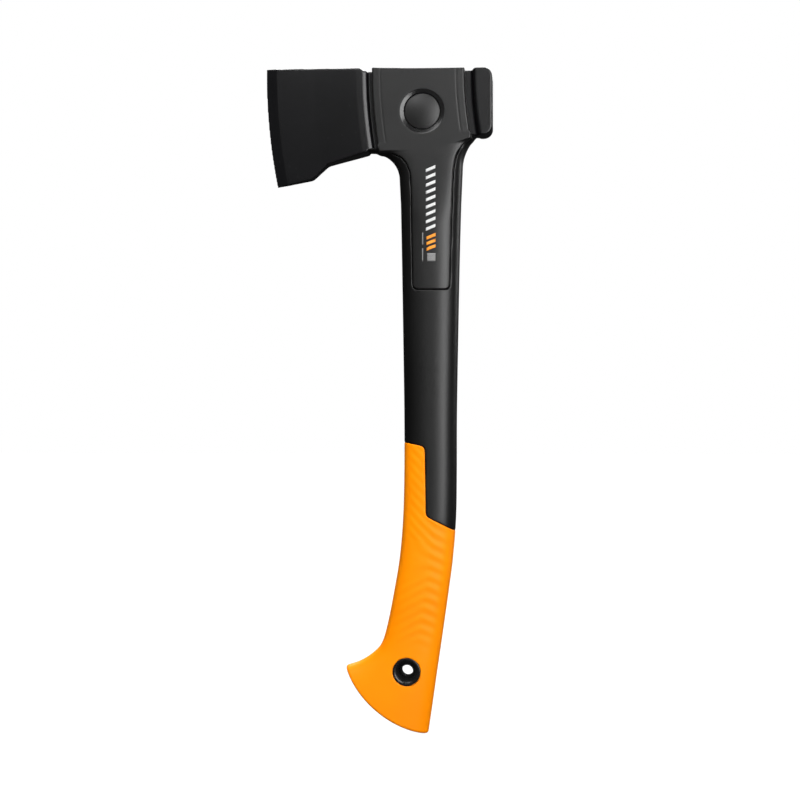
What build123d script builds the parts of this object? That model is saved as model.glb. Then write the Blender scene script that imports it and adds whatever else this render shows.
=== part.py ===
from build123d import *

import math
import os

# Compact felling axe with a moulded, fibre-reinforced handle.
# Frame, in millimetres: the origin is the centre of the hang hole, +Z runs up the handle,
# -X points to the cutting edge and Y is the thickness. The left side of the tool is at -Y.

# ---------------------------------------------------------------- driving dimensions
# Head. The cutting edge, the shoulder and both collar edges are arcs about one common centre.
SWEEP_X = 288.6
SWEEP_Z = 400.4
EDGE_X = -95.5
BIT_TOP = 402.5
TOE_RISE = 2.5
POLL_TOP = 401.9
HEAD_REAR = 57.0
WEB_TOP = 400.7
WEB_HALF = 6.0
BIT_HALF = 10.4
POLL_HALF = 11.0
POLL_BOTTOM = 357.4

# Collar, panels and the pin through them
COLLAR_TOP = 402.0
COLLAR_TILT = 0.45
COLLAR_HALF = 12.5
COLLAR_FRONT = -23.4
COLLAR_REAR = 38.8
COLLAR_DIP = 0.4
PANEL_FLOOR = 8.6
PANEL_GAP = 0.5
PANEL_END = 254.8
PANEL_CORNER = 3.2
PIN_X = 10.5
PIN_Z = 373.0
PIN_RADIUS = 7.0
PIN_CLEARANCE = 0.05
CAP_RADIUS = 11.9
CAP_RIM = 11.3
CAP_CROWN = 12.6
RECESS_RADIUS = 14.9
RECESS_DEPTH = 0.9

# Neck flares: x and z of the arc's centre and its radius, on each side. The neck ends in the collar.
FRONT_FLARE = (-23.9, 328.2, 18.6)
REAR_FLARE = (66.1, 335.5, 29.1)
NECK_END_FRONT = (-17.6, 349.5)
NECK_END_REAR = (42.2, 358.3)

# Handle
GRIP_WALL = 2.5
HOLLOW_WALL = 5.5
BUTT_X = 25.9
BUTT_Z = 29.4
BUTT_RADIUS = 72.7
PLUG_LENGTH = 8.0

# Hang-hole eyelet
EYELET_RADIUS = 9.25
EYELET_NECK = 6.2
EYELET_STEP = 8.0
EYELET_FACE = 11.7
MOUTH_RADIUS = 8.5
BORE_RADIUS = 3.8
BORE_HALF = 4.0

OUTSIDE = 130.0
DEEP = 30.0


# ---------------------------------------------------------------- shared shapes
def rounded_face(corners):
    """Flat face from (x, z, corner radius) entries, drawn in the XZ plane's own axes."""
    face = make_face(Polyline(*[(x, z) for x, z, _ in corners], close=True))
    for x, z, radius in corners:
        if radius > 0:
            corner = face.vertices().sort_by_distance((x, z, 0))[0]
            face = fillet(corner, radius)
    return face


def side_prism(face, half_depth=DEEP):
    """Prism through the tool's thickness with a side outline."""
    return extrude(Plane.XZ * face, amount=half_depth, both=True)


def swept_slab(half_section):
    """Solid whose thickness depends only on the distance from the common sweep centre."""
    start_lift = 3
    sweep_angle = 20
    far_side = [(x, -y) for x, y in reversed(half_section)]
    flat = make_face(Polyline(*half_section, *far_side, close=True))
    axis = Axis((SWEEP_X, 0, SWEEP_Z), (0, -1, 0))
    face = flat.moved(Location((0, 0, SWEEP_Z))).rotate(axis, -start_lift)
    return revolve(face, axis, sweep_angle)


def cross_cylinder(x, z, radius, half_length):
    """Round bar along the thickness direction."""
    return Pos(x, 0, z) * Rot(90, 0, 0) * Cylinder(radius, 2 * half_length)


def oval(front, rear, half_thickness, power, inset=0.0):
    """Closed oval section between a front and a rear outline point."""
    steps = 24
    width = math.dist(front, rear)
    along = ((rear[0] - front[0]) / width, (rear[1] - front[1]) / width)
    middle = ((front[0] + rear[0]) / 2, (front[1] + rear[1]) / 2)
    points = []
    for step in range(steps):
        angle = 2 * math.pi * step / steps
        cosine = math.cos(angle)
        sine = math.sin(angle)
        reach = math.copysign(abs(cosine) ** (2 / power), cosine) * (width / 2 - inset)
        side = math.copysign(abs(sine) ** (2 / power), sine) * (half_thickness - inset)
        points.append((middle[0] + along[0] * reach, side, middle[1] + along[1] * reach))
    return make_face(Spline(*points, periodic=True))


# ---------------------------------------------------------------- head
def axe_head():
    """One forging: wedge-shaped bit, rounded shoulder, thin web and block-shaped poll."""
    half_section = [
        (EDGE_X, 0.15),
        (-88.3, 2.5),
        (-62.0, 6.0),
        (-33.8, BIT_HALF),
        (-30.8, 10.3),
        (-28.8, 9.9),
        (-27.0, 9.1),
        (-26.3, 6.4),
        (-26.0, WEB_HALF),
        (42.4, WEB_HALF),
        (43.2, 6.5),
        (44.6, 10.2),
        (45.8, POLL_HALF),
        (66.0, POLL_HALF),
    ]
    outline = [
        (-OUTSIDE, BIT_TOP + TOE_RISE, 0),
        (-31.4, BIT_TOP, 1.2),
        (-29.0, WEB_TOP, 0.8),
        (43.4, WEB_TOP, 0.8),
        (45.0, POLL_TOP, 1.6),
        (HEAD_REAR, POLL_TOP, 6.0),
        (HEAD_REAR, POLL_BOTTOM, 6.0),
        (45.0, POLL_BOTTOM - 0.4, 0),
        (-25.4, 348.0, 0),
        (-26.6, 346.5, 0),
        (-53.6, 338.9, 7.0),
        (-64.0, 329.2, 6.0),
        (-OUTSIDE, 315.4, 0),
    ]
    forging = swept_slab(half_section) & side_prism(rounded_face(outline))
    lock_hole = cross_cylinder(PIN_X, PIN_Z, PIN_RADIUS + PIN_CLEARANCE, DEEP)
    return forging - lock_hole


# ---------------------------------------------------------------- handle body
def neck_sections(inset=0.0):
    """Oval sections that fan out along the two flares, from the shaft up to the collar."""
    steps = 6
    front_turn = math.radians(78)
    rear_turn = math.radians(42)
    sections = []
    for step in range(steps + 1):
        share = step / steps
        front_x, front_z, front_radius = FRONT_FLARE
        rear_x, rear_z, rear_radius = REAR_FLARE
        front = (
            front_x + front_radius * math.cos(front_turn * share),
            front_z + front_radius * math.sin(front_turn * share),
        )
        rear = (
            rear_x - rear_radius * math.cos(rear_turn * share),
            rear_z + rear_radius * math.sin(rear_turn * share),
        )
        sections.append(oval(front, rear, 11.7 + 0.6 * share, 2.6 + 0.6 * share, inset))
    sections.append(oval(NECK_END_FRONT, NECK_END_REAR, 12.3, 3.2, inset))
    return sections


def shaft_sections(inset=0.0):
    """Oval sections from the hooked end up to the foot of the neck: front, rear, half thickness."""
    stations = [
        ((-56.0, -2.6), (9.3, -74.0), 11.9),
        ((-41.3, 2.5), (14.2, -40.0), 11.7),
        ((-31.4, 6.0), (17.0, -20.8), 11.5),
        ((-22.4, 12.0), (19.5, -3.0), 11.4),
        ((-16.9, 19.0), (22.0, 14.0), 11.3),
        ((-12.9, 33.0), (24.6, 32.0), 11.3),
        ((-8.8, 54.0), (27.7, 54.0), 11.6),
        ((-5.2, 76.0), (30.5, 76.0), 11.8),
        ((-3.0, 102.0), (32.5, 102.0), 11.7),
        ((-2.2, 132.0), (33.0, 132.0), 11.4),
        ((-2.2, 170.0), (33.1, 170.0), 11.2),
        ((-2.9, 220.0), (33.9, 220.0), 11.2),
        ((-3.8, 275.0), (35.0, 275.0), 11.4),
        ((-4.5, 312.0), (36.0, 312.0), 11.6),
    ]
    return [oval(front, rear, half, 2.6, inset) for front, rear, half in stations]


def collar_slab():
    """Flat-faced slab around the web with a small bevel on each side edge and a slightly dipped top."""
    bevel = 0.9
    half_section = [
        (COLLAR_FRONT, WEB_HALF),
        (COLLAR_FRONT, COLLAR_HALF - bevel),
        (COLLAR_FRONT + bevel, COLLAR_HALF),
        (COLLAR_REAR - bevel, COLLAR_HALF),
        (COLLAR_REAR, COLLAR_HALF - bevel),
        (COLLAR_REAR, WEB_HALF),
    ]
    top_left = (COLLAR_FRONT - 4, COLLAR_TOP + COLLAR_TILT)
    top_middle = ((COLLAR_FRONT + COLLAR_REAR) / 2, COLLAR_TOP - COLLAR_DIP)
    top_right = (COLLAR_REAR + 4, COLLAR_TOP - COLLAR_TILT)
    outline = make_face(
        [
            ThreePointArc(top_left, top_middle, top_right),
            Polyline(top_right, (56.0, 356.6), (44.2, 355.2), (-18.4, 346.4), (-30.0, 344.6), top_left),
        ]
    )
    return swept_slab(half_section) & side_prism(outline)


def beyond_butt(inset):
    """Everything at the hooked end that lies outside the curved butt surface."""
    hooked_end = side_prism(rounded_face([(-80, 60, 0), (80, 60, 0), (80, -90, 0), (-80, -90, 0)]))
    return hooked_end - cross_cylinder(BUTT_X, BUTT_Z, BUTT_RADIUS - inset, DEEP)


def handle_solid(inset=0.0):
    """Neck and shaft as one smooth body, cut to the curved butt."""
    neck = neck_sections(inset)
    shaft = loft([*shaft_sections(inset), neck[0]])
    return shaft + loft(neck) - beyond_butt(inset)


def hollow_space():
    """Hollow of the moulded handle, open at the butt and closed below the neck."""
    return loft(shaft_sections(HOLLOW_WALL)[:-1]) - beyond_butt(GRIP_WALL)


# ---------------------------------------------------------------- zones on the handle
def panel_outline(gap):
    """Side view of a panel. Above the neck it runs past the collar, which trims it."""
    flare_foot = 325.0
    front_start = (3.1 - gap, flare_foot)
    front_end = (-9.6, 345.6 - gap)
    rear_start = (30.5 + gap, flare_foot)
    rear_end = (37.5, 350.4 - gap)
    past_front = (-26.0, 346.2 - gap)
    past_rear = (52.0, 361.4 - gap)
    end_front = (4.3 - gap, PANEL_END - gap)
    end_rear = (28.7 + gap, PANEL_END - gap)
    face = make_face(
        [
            Spline(front_start, front_end, tangents=[(0, 1), (-1, 0.05)]),
            Polyline(front_end, past_front, (-40.0, 420.0), (60.0, 420.0), past_rear, rear_end),
            Spline(rear_end, rear_start, tangents=[(-1, -0.8), (0, -1)]),
            Polyline(rear_start, end_rear, end_front, front_start),
        ]
    )
    for x, z in (end_front, end_rear):
        corner = face.vertices().sort_by_distance((x, z, 0))[0]
        face = fillet(corner, PANEL_CORNER + gap)
    return face


def panel_zone(side, gap=0.0):
    """Everything outside the panel floor, inside the panel outline, on one side (-1 or +1)."""
    deep = Plane.XZ * panel_outline(gap)
    return extrude(deep, amount=-side * DEEP) - Box(400, 2 * PANEL_FLOOR, 1000)


def grip_zone():
    """Side view of the overmould: high at the front, stepping down to the rear."""
    corners = [
        (-OUTSIDE, 155.9, 0),
        (-2.1, 152.8, 0),
        (12.1, 150.0, 4.0),
        (12.9, 103.6, 3.5),
        (31.5, 94.0, 0),
        (OUTSIDE, 43.0, 0),
        (OUTSIDE, -OUTSIDE, 0),
        (-OUTSIDE, -OUTSIDE, 0),
    ]
    return side_prism(rounded_face(corners))


# ---------------------------------------------------------------- small pieces
def turned(profile):
    """Solid of revolution about the Y axis from (radius, y) points."""
    return revolve(make_face(Polyline(*profile, close=True)), Axis.Y)


def hang_eyelet():
    """Funnel-mouthed tube through the hooked end, the same from both sides."""
    return turned(
        [
            (BORE_RADIUS, -BORE_HALF),
            (MOUTH_RADIUS, -EYELET_FACE),
            (EYELET_RADIUS, -EYELET_FACE),
            (EYELET_RADIUS, -EYELET_STEP),
            (EYELET_NECK, -EYELET_STEP),
            (EYELET_NECK, EYELET_STEP),
            (EYELET_RADIUS, EYELET_STEP),
            (EYELET_RADIUS, EYELET_FACE),
            (MOUTH_RADIUS, EYELET_FACE),
            (BORE_RADIUS, BORE_HALF),
        ]
    )


def eyelet_seat():
    """Stepped hole that the eyelet fills."""
    return turned(
        [
            (0, -DEEP),
            (EYELET_RADIUS, -DEEP),
            (EYELET_RADIUS, -EYELET_STEP),
            (EYELET_NECK, -EYELET_STEP),
            (EYELET_NECK, EYELET_STEP),
            (EYELET_RADIUS, EYELET_STEP),
            (EYELET_RADIUS, DEEP),
            (0, DEEP),
        ]
    )


def pin_cap(side):
    """Domed disc that stands on the panel floor over the end of the pin."""
    crown_height = CAP_CROWN - CAP_RIM
    dome_radius = (CAP_RADIUS**2 + crown_height**2) / (2 * crown_height)
    dome = Pos(PIN_X, side * (CAP_CROWN - dome_radius), PIN_Z) * Sphere(dome_radius)
    disc = turned(
        [
            (0, side * PANEL_FLOOR),
            (CAP_RADIUS, side * PANEL_FLOOR),
            (CAP_RADIUS, side * (CAP_CROWN + 1)),
            (0, side * (CAP_CROWN + 1)),
        ]
    )
    return (Pos(PIN_X, 0, PIN_Z) * disc) & dome


def cap_recess(side):
    """Round hole with a sloping mouth around the cap."""
    mouth = side * COLLAR_HALF
    foot = side * (COLLAR_HALF - RECESS_DEPTH)
    hole = CAP_RADIUS + 0.2
    profile = [
        (0, 0),
        (hole, 0),
        (hole, foot),
        (RECESS_RADIUS, mouth),
        (RECESS_RADIUS, side * DEEP),
        (0, side * DEEP),
    ]
    return Pos(PIN_X, 0, PIN_Z) * turned(profile)


# ---------------------------------------------------------------- assembly
def build():
    """All sub-parts by node name."""
    head = axe_head()
    outer = handle_solid()
    hollow = hollow_space()
    grip_shell = (outer & grip_zone()) - handle_solid(GRIP_WALL)
    body = outer + collar_slab()
    core = body - grip_shell - hollow - head
    core = core - cross_cylinder(PIN_X, PIN_Z, PIN_RADIUS, DEEP)

    parts = {"axe_head": head}
    for name, side in (("left", -1), ("right", 1)):
        parts["side_panel_" + name] = (body & panel_zone(side)) - cap_recess(side)
        parts["pin_cap_" + name] = pin_cap(side)
        core = core - panel_zone(side, PANEL_GAP)

    parts["handle_core"] = core - eyelet_seat()
    parts["grip_sleeve"] = grip_shell - eyelet_seat()
    parts["hang_eyelet"] = hang_eyelet()
    parts["lock_pin"] = cross_cylinder(PIN_X, PIN_Z, PIN_RADIUS, PANEL_FLOOR)
    parts["end_plug"] = hollow & beyond_butt(GRIP_WALL + PLUG_LENGTH)
    return parts


os.makedirs("parts", exist_ok=True)
for node, shape in build().items():
    export_step(shape, "parts/" + node + ".step")
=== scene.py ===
import math

import bpy
import numpy as np
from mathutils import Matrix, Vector


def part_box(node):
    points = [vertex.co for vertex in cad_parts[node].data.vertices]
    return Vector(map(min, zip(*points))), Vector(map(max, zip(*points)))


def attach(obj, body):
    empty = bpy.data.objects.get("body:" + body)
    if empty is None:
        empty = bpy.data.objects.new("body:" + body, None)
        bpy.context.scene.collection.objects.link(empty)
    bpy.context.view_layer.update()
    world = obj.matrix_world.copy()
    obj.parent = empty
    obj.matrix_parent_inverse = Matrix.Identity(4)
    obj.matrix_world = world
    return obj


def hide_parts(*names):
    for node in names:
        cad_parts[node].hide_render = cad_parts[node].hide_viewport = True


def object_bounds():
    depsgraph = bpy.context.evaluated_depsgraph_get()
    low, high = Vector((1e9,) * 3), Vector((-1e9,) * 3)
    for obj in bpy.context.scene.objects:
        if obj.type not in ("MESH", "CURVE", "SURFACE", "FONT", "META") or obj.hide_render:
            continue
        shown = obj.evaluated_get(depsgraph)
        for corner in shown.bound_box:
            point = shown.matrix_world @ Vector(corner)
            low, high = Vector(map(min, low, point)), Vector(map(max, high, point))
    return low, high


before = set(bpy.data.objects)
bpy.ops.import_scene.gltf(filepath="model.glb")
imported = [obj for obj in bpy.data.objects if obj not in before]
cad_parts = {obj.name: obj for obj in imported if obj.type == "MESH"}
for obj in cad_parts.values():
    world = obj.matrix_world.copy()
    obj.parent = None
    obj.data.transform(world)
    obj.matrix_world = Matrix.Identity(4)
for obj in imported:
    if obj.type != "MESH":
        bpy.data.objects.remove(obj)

# Looks of a compact felling axe. Shapes are worked out in millimetres as distance fields (negative
# inside) in the CAD frame: x towards the poll, y through the thickness, z up the handle. They are
# turned into quad meshes in metres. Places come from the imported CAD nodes.

CAD_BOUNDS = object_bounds()
MM = 1000.0
COARSE = 1.0


def node_box(node):
    """Lowest and highest corner of a CAD node, in millimetres."""
    low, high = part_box(node)
    return np.array(low) * MM, np.array(high) * MM


# ---------------------------------------------------------------- sizes taken from the frame
HEAD_LOW, HEAD_HIGH = node_box("axe_head")
PANEL_LOW, PANEL_HIGH = node_box("side_panel_left")
CORE_LOW, CORE_HIGH = node_box("handle_core")
GRIP_LOW, GRIP_HIGH = node_box("grip_sleeve")
PIN_LOW, PIN_HIGH = node_box("lock_pin")
CAP_LOW, CAP_HIGH = node_box("pin_cap_right")
EYELET_LOW, EYELET_HIGH = node_box("hang_eyelet")

EDGE_X, HEAD_REAR = HEAD_LOW[0], HEAD_HIGH[0]
POLL_HALF = HEAD_HIGH[1]
COLLAR_HALF, PANEL_FLOOR = -PANEL_LOW[1], -PANEL_HIGH[1]
PANEL_END = PANEL_LOW[2]
PIN_X, PIN_Z = (PIN_LOW[0] + PIN_HIGH[0]) / 2, (PIN_LOW[2] + PIN_HIGH[2]) / 2
PIN_RADIUS = (PIN_HIGH[0] - PIN_LOW[0]) / 2
CAP_RADIUS, CAP_CROWN = (CAP_HIGH[0] - CAP_LOW[0]) / 2, CAP_HIGH[1]
EYELET_RADIUS, EYELET_FACE = EYELET_HIGH[0], EYELET_HIGH[1]

# ---------------------------------------------------------------- sizes of the shapes themselves
SWEEP_X, SWEEP_Z = 288.6, 400.4  # common centre of the edge, shoulder and collar arcs
WEB_TOP, WEB_HALF = 400.7, 6.0
BIT_TOP, TOE_RISE = 402.5, 2.5
POLL_TOP, POLL_BOTTOM = 401.9, 357.4
COLLAR_FRONT, COLLAR_REAR, COLLAR_TOP = -23.4, 38.8, 402.0
COLLAR_DIP, COLLAR_TILT = 0.4, 0.45
COLLAR_FOOT_X, COLLAR_FOOT_Z = -18.4, 346.4
COLLAR_FOOT_SLOPE = 8.8 / 62.6
NECK_OVERLAP = 3.0
GRIP_WALL, HOLLOW_WALL = 2.5, 5.5
HOLLOW_TOP = 275.0
BUTT_X, BUTT_Z, BUTT_RADIUS = 25.9, 29.4, 72.7
EYELET_NECK, EYELET_STEP = 6.2, 8.0
RECESS_RADIUS, RECESS_DEPTH = 14.9, 0.9
PANEL_GAP = 0.4
PANEL_CORNER = 3.2
PANEL_END_FRONT, PANEL_END_REAR = 4.3, 28.7
PANEL_POWER = 5.5
INK_RISE = 0.035
PIN_CLEARANCE, CAP_CLEARANCE, CAP_EDGE = 0.05, 0.2, 0.6
BORE_RADIUS, BORE_HALF = 3.8, 4.0
OUTSIDE = 130.0  # anywhere past the tool
FRONT_FLARE = (-23.9, 328.2, 18.6)
REAR_FLARE = (66.1, 335.5, 29.1)


# ---------------------------------------------------------------- curves in side view
def arc(centre_x, centre_z, radius, start, end, steps=30):
    """Points along an arc, in degrees from +x towards +z."""
    angles = np.radians(np.linspace(start, end, steps))
    return np.stack([centre_x + radius * np.cos(angles), centre_z + radius * np.sin(angles)], 1)


def through(points, steps=10):
    """Smooth curve through a few points (a Catmull-Rom spline)."""
    p = np.array(points, float)
    p = np.vstack([2 * p[0] - p[1], p, 2 * p[-1] - p[-2]])
    t = np.linspace(0, 1, steps, endpoint=False)[:, None]
    spans = []
    for a, b, c, d in zip(p, p[1:], p[2:], p[3:]):
        cubic = 3 * (b - c) + d - a
        square = 2 * a - 5 * b + 4 * c - d
        spans.append(b + 0.5 * t * (c - a + t * (square + t * cubic)))
    return np.vstack([*spans, p[-2:-1]])


def rounded(corners, steps=8):
    """Closed outline from (x, z, corner radius) entries."""
    points = np.array([c[:2] for c in corners], float)
    outline = []
    for i, (x, z, radius) in enumerate(corners):
        if radius == 0:
            outline.append((x, z))
            continue
        here = points[i]
        back = points[i - 1] - here
        ahead = points[(i + 1) % len(points)] - here
        back /= np.linalg.norm(back)
        ahead /= np.linalg.norm(ahead)
        half = math.acos(np.clip(back @ ahead, -1, 1)) / 2
        middle = here + (back + ahead) / np.linalg.norm(back + ahead) * radius / math.sin(half)
        first = here + back * radius / math.tan(half) - middle
        last = here + ahead * radius / math.tan(half) - middle
        turn = math.pi - 2 * half
        for share in np.linspace(0, 1, steps):
            blend = math.sin((1 - share) * turn) * first + math.sin(share * turn) * last
            outline.append(middle + blend / math.sin(turn))
    return np.array(outline)


def segment_distances(x, z, curve):
    """Each segment's squared distance from every point, with the cross product of the two."""
    for (ax, az), (bx, bz) in zip(curve[:-1], curve[1:]):
        ex, ez = bx - ax, bz - az
        wx, wz = x - ax, z - az
        along = np.clip((wx * ex + wz * ez) / (ex * ex + ez * ez), 0, 1)
        yield (wx - ex * along) ** 2 + (wz - ez * along) ** 2, ex * wz - ez * wx


def side_distance(x, z, curve):
    """Signed distance to an open curve, positive on its left."""
    best = np.full(np.broadcast(x, z).shape, np.inf)
    left = np.zeros(best.shape)
    for squared, cross in segment_distances(x, z, curve):
        nearer = squared < best
        best = np.where(nearer, squared, best)
        left = np.where(nearer, np.sign(cross), left)
    return left * np.sqrt(best)


def outline_distance(x, z, outline):
    """Signed distance to a closed outline, negative inside."""
    closed = np.vstack([outline, outline[:1]])
    best = np.full(np.broadcast(x, z).shape, np.inf)
    inside = np.zeros(best.shape, bool)
    for squared, _ in segment_distances(x, z, closed):
        best = np.minimum(best, squared)
    for (ax, az), (bx, bz) in zip(closed[:-1], closed[1:]):
        if az != bz:
            inside ^= ((az > z) != (bz > z)) & (x < ax + (z - az) * (bx - ax) / (bz - az))
    return np.where(inside, -1, 1) * np.sqrt(best)


# ---------------------------------------------------------------- combining fields
def round_max(a, b, radius):
    """Intersection of two solids with a rounded edge."""
    outside = np.sqrt(np.maximum(a + radius, 0) ** 2 + np.maximum(b + radius, 0) ** 2)
    return np.minimum(np.maximum(a, b), -radius) + outside


def soft_min(a, b, reach):
    """Union of two solids with a soft fillet between them."""
    blend = np.clip(0.5 + 0.5 * (b - a) / reach, 0, 1)
    return b + (a - b) * blend - reach * blend * (1 - blend)


def soft_profile(points, soften):
    """Half thickness against distance, with its creases softened over a length."""
    pitch = 0.05
    pad = 6.0
    reach = np.arange(points[0][0] - pad, points[-1][0] + pad, pitch)
    half = np.interp(reach, [p[0] for p in points], [p[1] for p in points])
    window = np.ones(max(1, int(soften / pitch)))
    edge = len(window)
    for _ in range(2):
        padded = np.pad(half, edge, mode="edge")
        half = np.convolve(padded, window / window.sum(), mode="same")[edge:-edge]
    return reach, half, np.gradient(half, pitch)


class Grid:
    """Sample points around a box: side-view coordinates are flat, the thickness is mirror-symmetric."""

    def __init__(self, low, high, step, one_side=False):
        self.step = step * COARSE
        margin = 2.5 * self.step
        self.x_axis = np.arange(low[0] - margin, high[0] + margin, self.step)
        self.z_axis = np.arange(low[2] - margin, high[2] + margin, self.step)
        rows = int(math.ceil((high[1] + margin) / self.step))
        self.y_axis = self.step * np.arange(-rows, rows + 1)
        if one_side:
            self.y_axis = np.arange(low[1] - margin, high[1] + margin, self.step)
        self.x = self.x_axis[:, None]
        self.z = self.z_axis[None, :]
        self.y = np.abs(self.y_axis)[None, :, None]
        self.reach = SWEEP_X - np.hypot(self.x - SWEEP_X, self.z - SWEEP_Z)

    def deep(self, flat):
        """A side-view field as part of the whole grid."""
        return np.asarray(flat)[:, None, :]

    def disc(self, x, z):
        """Distance from an axis through the thickness."""
        return self.deep(np.hypot(self.x - x, self.z - z))

    def slab(self, profile):
        """Distance field of a slab whose half thickness follows the common sweep."""
        reach, half, slope = profile
        steep = np.sqrt(1 + np.interp(self.reach, reach, slope) ** 2)
        return (self.y - self.deep(np.interp(self.reach, reach, half))) / self.deep(steep)


# ---------------------------------------------------------------- mesh from a field
def surface_net(field, grid):
    """Closed quad mesh of a field's zero surface: one vertex per crossed cell."""
    shape = np.array(field.shape)
    cells = shape - 1
    size = int(cells.prod())
    total = np.zeros((3, size))
    count = np.zeros(size)
    quads = []
    for axis in range(3):
        u, v = (axis + 1) % 3, (axis + 2) % 3
        start = [slice(None)] * 3
        end = [slice(None)] * 3
        start[axis] = slice(0, -1)
        end[axis] = slice(1, None)
        here, there = field[tuple(start)], field[tuple(end)]
        at = np.argwhere((here < 0) != (there < 0))
        inner = (at[:, u] > 0) & (at[:, v] > 0) & (at[:, u] < cells[u]) & (at[:, v] < cells[v])
        at = at[inner]
        a, b = here[tuple(at.T)], there[tuple(at.T)]
        point = at.astype(float)
        point[:, axis] += a / (a - b)
        corners = []
        for du, dv in ((0, 0), (1, 0), (1, 1), (0, 1)):
            cell = at.copy()
            cell[:, u] -= du
            cell[:, v] -= dv
            index = np.ravel_multi_index(tuple(cell.T), tuple(cells))
            corners.append(index)
            count += np.bincount(index, minlength=size)
            for k in range(3):
                total[k] += np.bincount(index, weights=point[:, k], minlength=size)
        quad = np.stack(corners, 1)
        quads.append(np.where((a < 0)[:, None], quad, quad[:, ::-1]))
    used = np.flatnonzero(count)
    lookup = np.zeros(size, int)
    lookup[used] = np.arange(len(used))
    vertices = (total[:, used] / count[used]).T * grid.step
    vertices += [grid.x_axis[0], grid.y_axis[0], grid.z_axis[0]]
    return vertices, lookup[np.vstack(quads)]


def mesh_object(name, vertices, faces, material):
    """Smooth-shaded object from vertices in millimetres and faces of equal size."""
    faces = np.asarray(faces)
    mesh = bpy.data.meshes.new(name)
    mesh.vertices.add(len(vertices))
    mesh.vertices.foreach_set("co", (np.asarray(vertices) / MM).astype(np.float32).ravel())
    mesh.loops.add(faces.size)
    mesh.loops.foreach_set("vertex_index", faces.ravel().astype(np.int32))
    mesh.polygons.add(len(faces))
    mesh.polygons.foreach_set("loop_start", np.arange(0, faces.size, faces.shape[1], dtype=np.int32))
    mesh.update(calc_edges=True)
    mesh.polygons.foreach_set("use_smooth", np.ones(len(faces), bool))
    mesh.validate()
    mesh.materials.append(material)
    piece = bpy.data.objects.new(name, mesh)
    bpy.context.scene.collection.objects.link(piece)
    return piece


def finish_piece(piece, slot, *nodes):
    """Rides on the one body and stands for its CAD nodes; the slot argument is not used."""
    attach(piece, "root")
    if nodes:
        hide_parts(*nodes)
    return piece


# ---------------------------------------------------------------- head
HEAD_PROFILE = soft_profile(
    [
        (EDGE_X - 1.0, -0.9),
        (EDGE_X, 0.15),
        (-88.3, 2.5),
        (-62.0, 6.0),
        (-33.8, 10.4),
        (-29.9, 10.4),
        (-29.2, 10.3),
        (-27.2, 9.75),
        (-26.7, 9.4),
        (-26.2, 6.4),
        (-25.9, WEB_HALF),
        (42.4, WEB_HALF),
        (43.2, 6.5),
        (44.6, 10.2),
        (45.8, POLL_HALF),
        (66.0, POLL_HALF),
    ],
    0.4,
)


def head_field(grid):
    """Bit, shoulder, web and poll of the forging."""
    outline = rounded(
        [
            (-OUTSIDE, BIT_TOP + TOE_RISE, 0),
            (-31.4, BIT_TOP, 1.2),
            (-29.0, WEB_TOP, 0.8),
            (43.4, WEB_TOP, 0.8),
            (45.0, POLL_TOP, 1.6),
            (HEAD_REAR, POLL_TOP, 6.0),
            (HEAD_REAR, POLL_BOTTOM, 6.0),
            (45.0, POLL_BOTTOM - 0.4, 0),
            (-25.4, 348.0, 0),
            (-26.6, 346.5, 0),
            (-53.6, 338.9, 7.0),
            (-64.0, 329.2, 6.0),
            (-OUTSIDE, 315.4, 0),
        ]
    )
    side = grid.deep(outline_distance(grid.x, grid.z, outline))
    half = np.interp(grid.reach, HEAD_PROFILE[0], HEAD_PROFILE[1])
    edge_round = grid.deep(np.clip(0.12 * (half - 3.0), 0.04, 0.8))
    return round_max(grid.slab(HEAD_PROFILE), side, edge_round)


# ---------------------------------------------------------------- handle and collar
STATIONS = [
    ((-56.0, -2.6), (9.3, -74.0), 11.9),
    ((-41.3, 2.5), (14.2, -40.0), 11.7),
    ((-31.4, 6.0), (17.0, -20.8), 11.5),
    ((-22.4, 12.0), (19.5, -3.0), 11.4),
    ((-16.9, 19.0), (22.0, 14.0), 11.3),
    ((-12.9, 33.0), (24.6, 32.0), 11.3),
    ((-8.8, 54.0), (27.7, 54.0), 11.6),
    ((-5.2, 76.0), (30.5, 76.0), 11.8),
    ((-3.0, 102.0), (32.5, 102.0), 11.7),
    ((-2.2, 132.0), (33.0, 132.0), 11.4),
    ((-2.2, 170.0), (33.1, 170.0), 11.2),
    ((-2.9, 220.0), (33.9, 220.0), 11.2),
    ((-3.8, 275.0), (35.0, 275.0), 11.4),
    ((-4.5, 312.0), (36.0, 312.0), 11.6),
]
FRONT_CURVE = np.vstack(
    [through([s[0] for s in STATIONS]), arc(*FRONT_FLARE, 0, 86), [(-60.0, 347.4)]]
)
REAR_CURVE = np.vstack(
    [through([s[1] for s in STATIONS]), arc(*REAR_FLARE, 180, 138), [(90.0, 397.0)]]
)
HALF_BY_HEIGHT = (
    [-60.0, *[(s[0][1] + s[1][1]) / 2 for s in STATIONS[1:]], 334.0, 345.0],
    [11.9, *[s[2] for s in STATIONS[1:]], 12.2, COLLAR_HALF],
)
CREASE_INSET, CREASE_DEPTH = 5.8, 0.14
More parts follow.
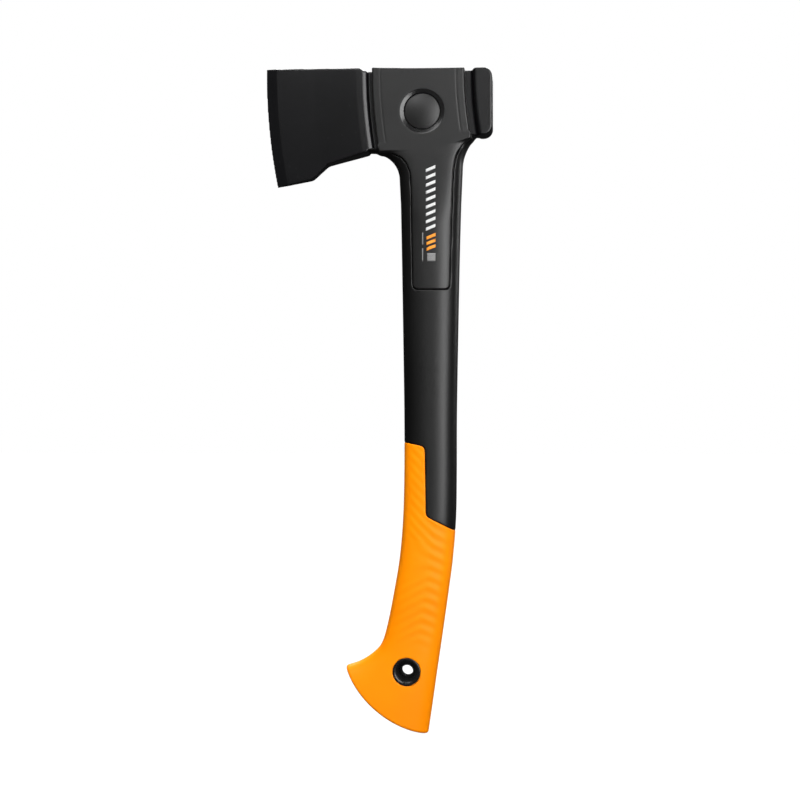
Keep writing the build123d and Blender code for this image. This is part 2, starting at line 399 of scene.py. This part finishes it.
COLLAR_PROFILE = soft_profile(
    [
        (COLLAR_FRONT - 1.0, 4.0),
        (COLLAR_FRONT, WEB_HALF),
        (COLLAR_FRONT + 0.1, 11.6),
        (COLLAR_FRONT + 0.9, COLLAR_HALF - 0.12),
        (COLLAR_FRONT + CREASE_INSET - 0.8, COLLAR_HALF - 0.02),
        (COLLAR_FRONT + CREASE_INSET, COLLAR_HALF - CREASE_DEPTH),
        (COLLAR_FRONT + CREASE_INSET + 0.8, COLLAR_HALF),
        (COLLAR_REAR - CREASE_INSET - 0.8, COLLAR_HALF),
        (COLLAR_REAR - CREASE_INSET, COLLAR_HALF - CREASE_DEPTH),
        (COLLAR_REAR - CREASE_INSET + 0.8, COLLAR_HALF - 0.02),
        (COLLAR_REAR - 0.9, COLLAR_HALF - 0.15),
        (COLLAR_REAR - 0.1, 11.6),
        (COLLAR_REAR, WEB_HALF),
        (COLLAR_REAR + 1.0, 4.0),
    ],
    0.4,
)


def across_handle(grid, inset=0.0):
    """Place across the handle, from -1 at the front edge to 1 at the rear, and the half width."""
    front = -side_distance(grid.x, grid.z, FRONT_CURVE) - inset
    rear = side_distance(grid.x, grid.z, REAR_CURVE) - inset
    width = np.maximum(front + rear, 8.0)
    return (front - rear) / width, width / 2


def oval_field(grid, inset=0.0, relief=0.0, neck_power=3.2):
    """Endless oval bar along the handle; a higher power makes its faces flatter near the collar."""
    across, half_width = across_handle(grid, inset)
    half = np.interp(grid.z, *HALF_BY_HEIGHT) - inset + relief
    power = np.interp(grid.z, [300.0, 345.0], [2.6, neck_power])
    u = grid.deep(np.abs(across) + 1e-6)
    v = grid.y / grid.deep(half) + 1e-6
    p = grid.deep(power)
    level = (u**p + v**p) ** (1 / p)
    slope_u = (u / level) ** (p - 1) / grid.deep(half_width)
    slope_v = (v / level) ** (p - 1) / grid.deep(half)
    return (level - 1) / np.sqrt(slope_u**2 + slope_v**2)


def butt_field(grid, inset=0.0):
    """Curved butt surface, carried straight up above its centre."""
    below = np.minimum(grid.z - BUTT_Z, 0)
    return grid.deep(np.hypot(grid.x - BUTT_X, below) - (BUTT_RADIUS - inset))


def collar_field(grid):
    """Slab around the web, with bevelled side edges and a slightly dipped top."""
    middle = (COLLAR_FRONT + COLLAR_REAR) / 2
    half_span = (COLLAR_REAR - COLLAR_FRONT) / 2
    share = (grid.x - middle) / half_span
    tilt = COLLAR_TILT * (grid.x - middle) / (half_span + 4)
    top = COLLAR_TOP - COLLAR_DIP * (1 - share**2) - tilt
    bottom = COLLAR_FOOT_Z + COLLAR_FOOT_SLOPE * (grid.x - COLLAR_FOOT_X)
    height = np.maximum(grid.z - top, (bottom - grid.z) / math.hypot(1, COLLAR_FOOT_SLOPE))
    sides = np.maximum(COLLAR_FRONT - grid.reach, grid.reach - COLLAR_REAR)
    return round_max(
        grid.slab(COLLAR_PROFILE), grid.deep(round_max(height, sides, 0.4)), 0.35
    )


def body_field(grid, neck_power=3.2):
    """Outer shape that the core and the panels share."""
    collar_foot = COLLAR_FOOT_Z + COLLAR_FOOT_SLOPE * (grid.x - COLLAR_FOOT_X)
    neck_end = (grid.z - collar_foot - NECK_OVERLAP) / math.hypot(1, COLLAR_FOOT_SLOPE)
    neck = np.maximum(oval_field(grid, neck_power=neck_power), grid.deep(neck_end))
    joined = soft_min(neck, collar_field(grid), 3.0)
    return np.maximum(joined, grid.y - COLLAR_HALF)


# ---------------------------------------------------------------- zones
def panel_outline():
    """Side view of a panel. Above the neck it runs past the collar, which trims it."""
    front = through(
        [(PANEL_END_FRONT, PANEL_END), (3.6, 292.0), (3.1, 325.0), (1.6, 335.0), (-2.6, 341.8), (-9.6, 345.6)]
    )
    rear = through(
        [(37.5, 350.4), (33.6, 345.0), (31.4, 336.5), (30.5, 325.0), (29.6, 292.0), (PANEL_END_REAR, PANEL_END)]
    )
    above = [(-26.0, 346.2), (-40.0, 420.0), (60.0, 420.0), (52.0, 361.4)]
    corner_top = PANEL_END + PANEL_CORNER
    front = front[front[:, 1] > corner_top + 1]
    rear = rear[rear[:, 1] > corner_top + 1]
    low_front = arc(PANEL_END_FRONT + PANEL_CORNER, corner_top, PANEL_CORNER, 270, 180, 10)
    low_rear = arc(PANEL_END_REAR - PANEL_CORNER, corner_top, PANEL_CORNER, 360, 270, 10)
    return np.vstack([low_front, front, above, rear, low_rear])


GRIP_OUTLINE = rounded(
    [
        (-OUTSIDE, 155.9, 0),
        (-20.0, 153.6, 0),
        (-2.1, 152.8, 0),
        (12.1, 150.0, 4.0),
        (12.9, 103.6, 3.5),
        (31.5, 94.0, 0),
        (OUTSIDE, 43.0, 0),
        (OUTSIDE, -OUTSIDE, 0),
        (-OUTSIDE, -OUTSIDE, 0),
    ]
)


def eyelet_seat(grid):
    """Stepped hole through the hooked end."""
    disc = grid.disc(0, 0)
    wide = np.maximum(disc - EYELET_RADIUS, EYELET_STEP - grid.y)
    return np.minimum(wide, disc - EYELET_NECK)


def grip_relief(grid):
    """Height of the soft herringbone ridges on the grip's two faces."""
    pitch, depth = 7.0, 0.30
    fold_place, fold_softness = 3.6, 1.6
    across, half_width = across_handle(grid)
    past = across * half_width - fold_place
    soft = np.hypot(past, fold_softness)
    rear_part, front_part = (soft + past) / 2, (soft - past) / 2
    upper = np.clip((grid.z - 62.0) / 26.0, 0, 1)
    front_slope = -0.62 + 1.6 * upper
    phase = grid.z + 0.48 * rear_part - front_slope * front_part
    wave = 0.5 + 0.5 * np.sin(2 * math.pi * phase / pitch)
    edge_fade = np.clip((0.95 - np.abs(across)) / 0.3, 0, 1)
    hook_fade = np.clip((grid.z - 10.0) / 20.0, 0, 1)
    front_fade = np.where(past < 0, 0.62, 1.0) + 0.38 * np.exp(-((past / 2.0) ** 2)) * (past < 0)
    return -depth * (1 - wave) * edge_fade * hook_fade * front_fade


# ---------------------------------------------------------------- pieces
def build_head(material):
    """Forging with the hole for the cross pin."""
    grid = Grid(HEAD_LOW, HEAD_HIGH, 0.5)
    lock_hole = PIN_RADIUS + PIN_CLEARANCE - grid.disc(PIN_X, PIN_Z)
    field = np.maximum(head_field(grid), lock_hole)
    piece = mesh_object("head_forging", *surface_net(field, grid), material)
    return finish_piece(piece, "head_coating", "axe_head")


def build_core(material):
    """Hollow handle with pockets for the panels and a step under the grip."""
    grid = Grid(CORE_LOW, CORE_HIGH, 0.6)
    zone = grid.deep(outline_distance(grid.x, grid.z, GRIP_OUTLINE))
    panel = grid.deep(outline_distance(grid.x, grid.z, panel_outline())) - PANEL_GAP
    under_grip = np.maximum(oval_field(grid, GRIP_WALL), butt_field(grid, GRIP_WALL))
    field = round_max(body_field(grid), -zone, 0.45)
    field = np.minimum(field, np.maximum(under_grip, zone - 1.0))
    pocket = np.maximum(panel, PANEL_FLOOR - grid.y)
    field = round_max(field, -pocket, 0.15)
    hollow_end = grid.deep(grid.z - HOLLOW_TOP + 0 * grid.x)
    field = np.maximum(field, -np.maximum(oval_field(grid, HOLLOW_WALL), hollow_end))
    field = np.maximum(field, -head_field(grid))
    field = np.maximum(field, PIN_RADIUS - grid.disc(PIN_X, PIN_Z))
    field = np.maximum(field, -eyelet_seat(grid))
    piece = mesh_object("handle_body", *surface_net(field, grid), material)
    return finish_piece(piece, "handle_black", "handle_core")


def build_panels(material):
    """One panel shape, used as it is and mirrored."""
    low = np.array([PANEL_LOW[0], PANEL_FLOOR, PANEL_LOW[2]])
    high = np.array([PANEL_HIGH[0], COLLAR_HALF, PANEL_HIGH[2]])
    grid = Grid(low, high, 0.4, one_side=True)
    outline = grid.deep(outline_distance(grid.x, grid.z, panel_outline()))
    field = round_max(body_field(grid, PANEL_POWER), outline, 0.6)
    field = np.maximum(field, PANEL_FLOOR - grid.y)
    rise = (RECESS_RADIUS - CAP_RADIUS - CAP_CLEARANCE) / RECESS_DEPTH
    wall = CAP_RADIUS + CAP_CLEARANCE + rise * np.maximum(grid.y - (COLLAR_HALF - RECESS_DEPTH), 0)
    recess = (wall - grid.disc(PIN_X, PIN_Z)) / math.hypot(1, rise)
    field = round_max(field, recess, 0.2)
    vertices, faces = surface_net(field, grid)
    for name, side in (("left", -1), ("right", 1)):
        shape = vertices * [1, side, 1]
        piece = mesh_object("side_cover_" + name, shape, faces[:, ::side], material)
        finish_piece(piece, "panel_grey", "side_panel_" + name)


def build_grip(material):
    """Ridged overmould around the core."""
    grid = Grid(GRIP_LOW, GRIP_HIGH, 0.55)
    zone = grid.deep(outline_distance(grid.x, grid.z, GRIP_OUTLINE))
    outer = round_max(oval_field(grid, relief=grip_relief(grid)), butt_field(grid), 1.6)
    inner = np.maximum(oval_field(grid, GRIP_WALL), butt_field(grid, GRIP_WALL))
    field = np.maximum(round_max(outer, zone, 0.45), -inner)
    field = np.maximum(field, -eyelet_seat(grid))
    piece = mesh_object("grip_overmould", *surface_net(field, grid), material)
    return finish_piece(piece, "grip_orange", "grip_sleeve")


class Places:
    """A few side-view places, for the functions that take a grid."""

    def __init__(self, x, z):
        self.x, self.z = np.asarray(x, float), np.asarray(z, float)


def face_height(x, z):
    """Half thickness of the panel face at places on the tongue."""
    spots = Places(x, z)
    across, _ = across_handle(spots)
    half = np.interp(spots.z, *HALF_BY_HEIGHT)
    power = np.interp(spots.z, [300.0, 345.0], [2.6, PANEL_POWER])
    return half * (1 - np.abs(across) ** power) ** (1 / power)


def ink_patch(corners, side, cells=6):
    """Thin closed slab of ink over a four-cornered patch: its vertices and faces."""
    t = np.linspace(0, 1, cells + 1)
    a, b = np.meshgrid(t, t, indexing="ij")
    c = np.array(corners, float)
    weights = np.stack([(1 - a) * (1 - b), a * (1 - b), a * b, (1 - a) * b], -1)
    flat = (weights @ c).reshape(-1, 2)
    height = face_height(flat[:, 0], flat[:, 1])
    layers = [height + INK_RISE, height - INK_RISE]
    vertices = np.vstack([np.stack([flat[:, 0], side * h, flat[:, 1]], 1) for h in layers])
    row, count = cells + 1, (cells + 1) ** 2
    quads = []
    for i in range(cells):
        for j in range(cells):
            quad = [i * row + j, i * row + j + 1, (i + 1) * row + j + 1, (i + 1) * row + j]
            quads.append(quad)
            quads.append([count + k for k in reversed(quad)])
    rim = list(range(cells))
    rim += [cells + i * row for i in range(cells)]
    rim += [cells * row + cells - i for i in range(cells)]
    rim += [(cells - i) * row for i in range(cells)]
    for k, m in zip(rim, rim[1:] + rim[:1]):
        quads.append([m, k, count + k, count + m])
    return vertices, np.array(quads)[:, ::side]


def ink_piece(name, patches, side, material, slot="panel_grey"):
    """One printed colour as one piece."""
    all_vertices, all_faces, total = [], [], 0
    for corners in patches:
        vertices, faces = ink_patch(corners, side)
        all_vertices.append(vertices)
        all_faces.append(faces + total)
        total += len(vertices)
    piece = mesh_object(name, np.vstack(all_vertices), np.vstack(all_faces), material)
    return finish_piece(piece, slot)


def slanted_bars(front, rear, top, bottom, count, fill, slant):
    """Even row of slanted bars down a strip, as corner lists."""
    pitch = (top - bottom - slant) / (count - 1 + fill)
    bars = []
    for i in range(count):
        high = top - slant - i * pitch
        low = high - fill * pitch
        bars.append([(front, low), (rear, low + slant), (rear, high + slant), (front, high)])
    return bars


def box_patch(front, rear, bottom, top):
    """Corners of an upright rectangle."""
    return [(front, bottom), (rear, bottom), (rear, top), (front, top)]


def build_marks(white, orange, grey_ink):
    """Plain hatching where such a tool carries its printing."""
    for name, side in (("left", -1), ("right", 1)):
        bars = slanted_bars(12.95, 19.3, 336.9, 293.4, 9, 0.42, 2.6)
        ink_piece("hatch_white_" + name, bars, side, white)
        bars = slanted_bars(13.4, 19.4, 292.0, 280.1, 3, 0.55, 2.4)
        ink_piece("hatch_orange_" + name, bars, side, orange)
        lines = [box_patch(10.4, 11.1, 284.0, 292.2), box_patch(10.4, 11.1, 273.2, 281.8)]
        ink_piece("rule_grey_" + name, [*lines, box_patch(13.8, 19.4, 273.2, 278.6)], side, grey_ink)


def turned(name, profile, centre, side, material, segments=128):
    """Lathe-turned piece about the thickness direction from closed (radius, y) points."""
    profile = np.array(profile, float)
    angles = np.linspace(0, 2 * math.pi, segments, endpoint=False)
    rings = []
    for radius, y in profile:
        ring = [
            (centre[0] + radius * math.cos(t), side * y, centre[1] + radius * math.sin(t)) for t in angles
        ]
        rings.append(ring)
    vertices = np.array(rings).reshape(-1, 3)
    faces = []
    count = len(profile)
    for i in range(count):
        j = (i + 1) % count
        for k in range(segments):
            m = (k + 1) % segments
            faces.append((i * segments + k, i * segments + m, j * segments + m, j * segments + k))
    faces = np.array(faces)
    return mesh_object(name, vertices, faces[:, ::side], material)


def build_caps(material):
    """Domed discs over the ends of the pin, standing in the annular grooves."""
    rim = 11.3
    rise = CAP_CROWN - rim
    dome_radius = (CAP_RADIUS**2 + rise**2) / (2 * rise)
    tiny = 0.02
    dome = []
    for radius in np.linspace(CAP_RADIUS - CAP_EDGE, tiny, 24):
        dome.append((radius, CAP_CROWN - dome_radius + math.sqrt(dome_radius**2 - radius**2)))
    shoulder_y = dome[0][1]
    edge = [
        (CAP_RADIUS - CAP_EDGE + CAP_EDGE * math.sin(t), shoulder_y - CAP_EDGE + CAP_EDGE * math.cos(t))
        for t in np.linspace(math.pi / 2, 0.12, 8)
    ]
    profile = [(tiny, PANEL_FLOOR), (CAP_RADIUS, PANEL_FLOOR), *edge, *dome]
    for name, side in (("left", -1), ("right", 1)):
        piece = turned("pin_disc_" + name, profile, (PIN_X, PIN_Z), side, material)
        finish_piece(piece, "cap_grey", "pin_cap_" + name)


def build_eyelet(material):
    """Funnel-mouthed tube: each mouth flares like a bell, shallow at the lip and steep at the bore."""
    mouth = EYELET_RADIUS - 0.75
    flare = []
    for turn in np.radians(np.linspace(0, 84, 14)):
        radius = mouth - (mouth - BORE_RADIUS) * math.sin(turn)
        flare.append((radius, BORE_HALF + (EYELET_FACE - BORE_HALF) * math.cos(turn)))
    flare.append((BORE_RADIUS, BORE_HALF))
    outside = [
        (EYELET_RADIUS - 0.15, EYELET_FACE),
        (EYELET_RADIUS, EYELET_FACE - 0.15),
        (EYELET_RADIUS, EYELET_STEP),
        (EYELET_NECK, EYELET_STEP),
    ]
    half = flare[::-1] + outside
    outline = [(radius, -y) for radius, y in reversed(half)] + half
    outline = outline[::-1]
    piece = turned("hang_hole_bush", outline, (0, 0), 1, material)
    return finish_piece(piece, "eyelet_black", "hang_eyelet")


# ---------------------------------------------------------------- materials
class Surface:
    """A Principled material with short calls for the nodes that it needs."""

    def __init__(self, name, **sockets):
        self.material = bpy.data.materials.new(name)
        self.material.use_nodes = True
        self.tree = self.material.node_tree
        self.shader = self.tree.nodes["Principled BSDF"]
        for socket, value in sockets.items():
            self.shader.inputs[socket.replace("_", " ")].default_value = value
        self.place = self.tree.nodes.new("ShaderNodeTexCoord").outputs["Object"]
        self.bumps = None

    def add(self, kind, inputs=None, **settings):
        node = self.tree.nodes.new("ShaderNode" + kind)
        for key, value in settings.items():
            setattr(node, key, value)
        for key, value in (inputs or {}).items():
            if isinstance(value, bpy.types.NodeSocket):
                self.tree.links.new(value, node.inputs[key])
            else:
                node.inputs[key].default_value = value
        return node

    def noise(self, scale, detail=2.0, roughness=0.5, stretch=None):
        """Noise whose scale is in features per metre."""
        place = self.place
        if stretch:
            place = self.add("Mapping", {"Vector": place, "Scale": stretch}).outputs["Vector"]
        inputs = {"Vector": place, "Scale": scale, "Detail": detail, "Roughness": roughness}
        return self.add("TexNoise", inputs).outputs["Fac"]

    def remap(self, value, low, high, to_low, to_high):
        inputs = {"Value": value, "From Min": low, "From Max": high, "To Min": to_low, "To Max": to_high}
        return self.add("MapRange", inputs).outputs["Result"]

    def mix(self, share, a, b):
        node = self.add("Mix", data_type="RGBA")
        for index, value in ((0, share), (6, a), (7, b)):
            if isinstance(value, bpy.types.NodeSocket):
                self.tree.links.new(value, node.inputs[index])
            else:
                node.inputs[index].default_value = value
        return node.outputs[2]

    def bump(self, height, strength, distance):
        inputs = {"Height": height, "Strength": strength, "Distance": distance}
        if self.bumps is not None:
            inputs["Normal"] = self.bumps
        self.bumps = self.add("Bump", inputs).outputs["Normal"]

    def edges(self, low=0.52, high=0.62):
        """1 along convex edges."""
        point = self.add("NewGeometry").outputs["Pointiness"]
        return self.remap(point, low, high, 0.0, 1.0)

    def around_pin(self):
        """1 in the smooth groove around the pin's disc."""
        to_axis = {0: self.place, 1: (PIN_X / MM, 0.0, PIN_Z / MM)}
        offset = self.add("VectorMath", to_axis, operation="SUBTRACT").outputs["Vector"]
        flat = self.add("VectorMath", {0: offset, 1: (1.0, 0.0, 1.0)}, operation="MULTIPLY").outputs["Vector"]
        distance = self.add("VectorMath", {0: flat}, operation="LENGTH").outputs["Value"]
        edge = (RECESS_RADIUS - 0.1) / MM
        return self.remap(distance, edge, edge + 0.0002, 1.0, 0.0)

    def done(self, colour=None, roughness=None):
        if colour is not None:
            self.tree.links.new(colour, self.shader.inputs["Base Color"])
        if roughness is not None:
            self.tree.links.new(roughness, self.shader.inputs["Roughness"])
        if self.bumps is not None:
            self.tree.links.new(self.bumps, self.shader.inputs["Normal"])
        return self.material


def grey(value, blue=0.0):
    """Neutral colour, a little bluer if asked."""
    return (value, value, value + blue, 1.0)


def coated_steel():
    """Satin black low-friction coating with a fine pebble and slightly polished edges."""
    s = Surface("coated_steel", Metallic=0.0, Specular_IOR_Level=0.5)
    clouds = s.noise(18, 4, 0.6)
    fine = s.noise(2600, 3, 0.6)
    base = s.mix(s.remap(clouds, 0.35, 0.65, 0, 1), grey(0.0026, 0.0004), grey(0.0040, 0.0006))
    worn = s.mix(s.edges(), base, grey(0.010, 0.001))
    rough = s.remap(fine, 0.3, 0.7, 0.28, 0.34)
    s.bump(fine, 0.08, 0.00006)
    s.bump(s.noise(420, 2, 0.5), 0.05, 0.0002)
    return s.done(worn, rough)


def moulded_black():
    """Glass-filled black plastic, satin, with a fine moulded grain."""
    s = Surface("moulded_black", Specular_IOR_Level=0.5)
    fine = s.noise(3200, 4, 0.65)
    flow = s.noise(60, 3, 0.5, (1.0, 1.0, 0.25))
    base = s.mix(s.remap(flow, 0.35, 0.65, 0, 1), grey(0.0026), grey(0.0038))
    worn = s.mix(s.edges(0.53, 0.66), base, grey(0.004))
    rough = s.remap(fine, 0.3, 0.7, 0.34, 0.46)
    s.bump(fine, 0.14, 0.00010)
    return s.done(worn, rough)


def panel_plastic():
    """Dark grey moulding with a spark-eroded matte grain."""
    s = Surface("panel_plastic", Specular_IOR_Level=0.5)
    cells = s.add("TexVoronoi", {"Vector": s.place, "Scale": 1900.0}).outputs["Distance"]
    fine = s.noise(2400, 4, 0.7)
    clouds = s.noise(45, 3, 0.5)
    base = s.mix(s.remap(clouds, 0.35, 0.65, 0, 1), grey(0.0058), grey(0.0078))
    base = s.mix(s.remap(fine, 0.42, 0.62, 0, 0.5), base, grey(0.012))
    worn = s.mix(s.edges(0.53, 0.66), base, grey(0.018))
    polished = s.around_pin()
    rough = s.remap(fine, 0.3, 0.7, 0.34, 0.42)
    rough = s.add("Mix", {"Factor": polished, "A": rough, "B": 0.20}).outputs["Result"]
    s.bump(cells, 0.12, 0.00010)
    s.bump(fine, 0.12, 0.00010)
    return s.done(worn, rough)


def disc_plastic():
    """Smooth satin cap of the cross pin."""
    s = Surface("disc_plastic", Specular_IOR_Level=0.5)
    fine = s.noise(2800, 3, 0.6)
    base = s.mix(s.remap(s.noise(90, 2), 0.35, 0.65, 0, 1), grey(0.006), grey(0.008))
    worn = s.mix(s.edges(0.53, 0.66), base, grey(0.02))
    s.bump(fine, 0.10, 0.00010)
    return s.done(worn, s.remap(fine, 0.3, 0.7, 0.33, 0.42))


def orange_elastomer():
    """Soft orange overmould with a matte skin and painted shade: a darker orange in the valleys."""
    s = Surface("orange_elastomer", Specular_IOR_Level=0.16)
    fine = s.noise(2600, 3, 0.6)
    clouds = s.noise(35, 3, 0.5)
    base = s.mix(s.remap(clouds, 0.35, 0.65, 0, 1), (0.97, 0.254, 0.0, 1), (0.98, 0.274, 0.0, 1))
    # Painted shade: where the skin is hollow (low pointiness, in the ridge valleys) the colour is mixed towards
    # a darker orange.
    point = s.add("NewGeometry").outputs["Pointiness"]
    base = s.mix(s.remap(point, 0.485, 0.5, 0.35, 0.0), base, (0.92, 0.20, 0.0, 1))
    s.bump(fine, 0.10, 0.00008)
    return s.done(base, s.remap(fine, 0.3, 0.7, 0.42, 0.52))


def glossy_black():
    """Polished black moulding of the eyelet."""
    s = Surface("glossy_black", Specular_IOR_Level=0.5)
    fine = s.noise(900, 2, 0.5)
    base = s.mix(s.remap(s.noise(200, 2), 0.35, 0.65, 0, 1), grey(0.004), grey(0.007))
    s.bump(fine, 0.03, 0.0001)
    return s.done(base, s.remap(fine, 0.3, 0.7, 0.24, 0.34))


def turned_steel():
    """Plain turned pin."""
    s = Surface("turned_steel", Metallic=1.0)
    lines = s.noise(700, 3, 0.6, (1.0, 30.0, 1.0))
    base = s.mix(lines, grey(0.48), grey(0.62))
    s.bump(lines, 0.1, 0.00005)
    return s.done(base, s.remap(lines, 0.3, 0.7, 0.25, 0.4))


def printed_ink(name, colour, shade):
    """Pad-printed ink, a little uneven in cover."""
    s = Surface(name, Specular_IOR_Level=0.4)
    fine = s.noise(1500, 3, 0.6)
    base = s.mix(s.remap(fine, 0.35, 0.6, 0, 1), shade, colour)
    s.bump(fine, 0.05, 0.00005)
    return s.done(base, s.remap(fine, 0.3, 0.7, 0.42, 0.55))


# ---------------------------------------------------------------- stage, camera and light
def build_stage():
    """Pale floor under the butt that runs out into the white surround."""
    low = CAD_BOUNDS[0]
    reach = 6.0
    mesh = bpy.data.meshes.new("floor")
    corners = [(x, y, low[2]) for x, y in ((-reach, -reach), (reach, -reach), (reach, reach), (-reach, reach))]
    mesh.from_pydata(corners, [], [(0, 1, 2, 3)])
    floor = bpy.data.objects.new("floor", mesh)
    bpy.context.scene.collection.objects.link(floor)
    material = bpy.data.materials.new("floor_paper")
    material.use_nodes = True
    tree = material.node_tree
    tree.nodes.clear()
    output = tree.nodes.new("ShaderNodeOutputMaterial")
    mixer = tree.nodes.new("ShaderNodeMixShader")
    paper = tree.nodes.new("ShaderNodeBsdfDiffuse")
    glow = tree.nodes.new("ShaderNodeEmission")
    paper.inputs["Color"].default_value = grey(0.9)
    glow.inputs["Strength"].default_value = 1.1
    mixer.inputs["Fac"].default_value = 0.94
    tree.links.new(paper.outputs[0], mixer.inputs[1])
    tree.links.new(glow.outputs[0], mixer.inputs[2])
    tree.links.new(mixer.outputs[0], output.inputs["Surface"])
    mesh.materials.append(material)
    floor.visible_diffuse = False
    floor.visible_glossy = False
    floor.visible_shadow = False


def build_world():
    """White surround for the camera, dim surround for the reflections."""
    world = bpy.data.worlds.new("studio")
    bpy.context.scene.world = world
    world.use_nodes = True
    tree = world.node_tree
    back = tree.nodes["Background"]
    dim = tree.nodes.new("ShaderNodeBackground")
    mixer = tree.nodes.new("ShaderNodeMixShader")
    path = tree.nodes.new("ShaderNodeLightPath")
    back.inputs["Color"].default_value = grey(1.0)
    dim.inputs["Color"].default_value = grey(1.0)
    dim.inputs["Strength"].default_value = 0.02
    tree.links.new(path.outputs["Is Camera Ray"], mixer.inputs[0])
    tree.links.new(dim.outputs[0], mixer.inputs[1])
    tree.links.new(back.outputs[0], mixer.inputs[2])
    tree.links.new(mixer.outputs[0], tree.nodes["World Output"].inputs["Surface"])


def aim(thing, place, target):
    """Puts a camera or a light at a place, looking at the target."""
    thing.location = place
    thing.rotation_euler = (Vector(target) - Vector(place)).to_track_quat("-Z", "Y").to_euler()


def around(target, azimuth, elevation, distance):
    """Place seen from the target at an azimuth to the right of -Y and an elevation."""
    a, e = math.radians(azimuth), math.radians(elevation)
    flat = distance * math.cos(e)
    return Vector(target) + Vector((flat * math.sin(a), -flat * math.cos(a), distance * math.sin(e)))


def build_camera(target):
    """Long lens, level, a few degrees towards the poll."""
    camera = bpy.data.objects.new("camera", bpy.data.cameras.new("camera"))
    bpy.context.scene.collection.objects.link(camera)
    aim(camera, around(target, 4.5, 0.0, 1.175), target)
    camera.data.lens = 78.7
    camera.data.sensor_width = 36.0
    camera.data.clip_end = 50.0
    bpy.context.scene.camera = camera


def soft_box(name, target, place, size, power, diffuse=True, glossy=True):
    """Rectangular light at an azimuth, elevation and distance; some shade only, some only shine."""
    light = bpy.data.lights.new(name, "AREA")
    light.shape = "RECTANGLE"
    light.size, light.size_y = size
    light.energy = power
    box = bpy.data.objects.new(name, light)
    bpy.context.scene.collection.objects.link(box)
    aim(box, around(target, *place), target)
    box.visible_diffuse = diffuse
    box.visible_glossy = glossy


def build_lights(target):
    """Studio rig: a tall key for the side faces, broad tops, and weak fills for each other side."""
    soft_box("key_strip", target, (25, 9, 1.3), (0.50, 0.95), 11.5)
    soft_box("top_front", target, (-2, 55, 1.4), (1.2, 0.7), 27, glossy=False)
    soft_box("top_shine", target, (-16, 36, 1.4), (0.6, 0.35), 3.5, diffuse=False)
    soft_box("right_strip", target, (113, 20, 1.3), (0.30, 0.60), 4, diffuse=False)
    soft_box("front_fill", target, (-30, 0, 1.5), (0.9, 1.2), 0.15)
    soft_box("low_front", target, (-20, -45, 1.4), (0.9, 0.9), 3, glossy=False)
    soft_box("back_top", target, (182, 50, 1.4), (1.2, 0.7), 30)
    soft_box("back_strip", target, (157, 34, 1.3), (0.46, 0.60), 8)
    soft_box("left_shade", target, (-110, 5, 1.5), (0.8, 1.2), 4, glossy=False)
    soft_box("right_shade", target, (100, 5, 1.5), (0.8, 1.2), 9, glossy=False)


# ---------------------------------------------------------------- all together
def build():
    build_head(coated_steel())
    build_core(moulded_black())
    build_panels(panel_plastic())
    build_caps(disc_plastic())
    build_grip(orange_elastomer())
    build_eyelet(glossy_black())
    build_marks(
        printed_ink("ink_white", grey(0.65), grey(0.54)),
        printed_ink("ink_orange", (0.86, 0.30, 0.02, 1), (0.70, 0.24, 0.02, 1)),
        printed_ink("ink_grey", grey(0.22), grey(0.15)),
    )
    for node, material in (("lock_pin", turned_steel()), ("end_plug", moulded_black())):
        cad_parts[node].material_slots[0].material = material
    target = (-0.0052, 0.0, 0.181)
    build_stage()
    build_world()
    build_camera(target)
    build_lights(target)
    bpy.context.scene.view_settings.view_transform = "Standard"


build()
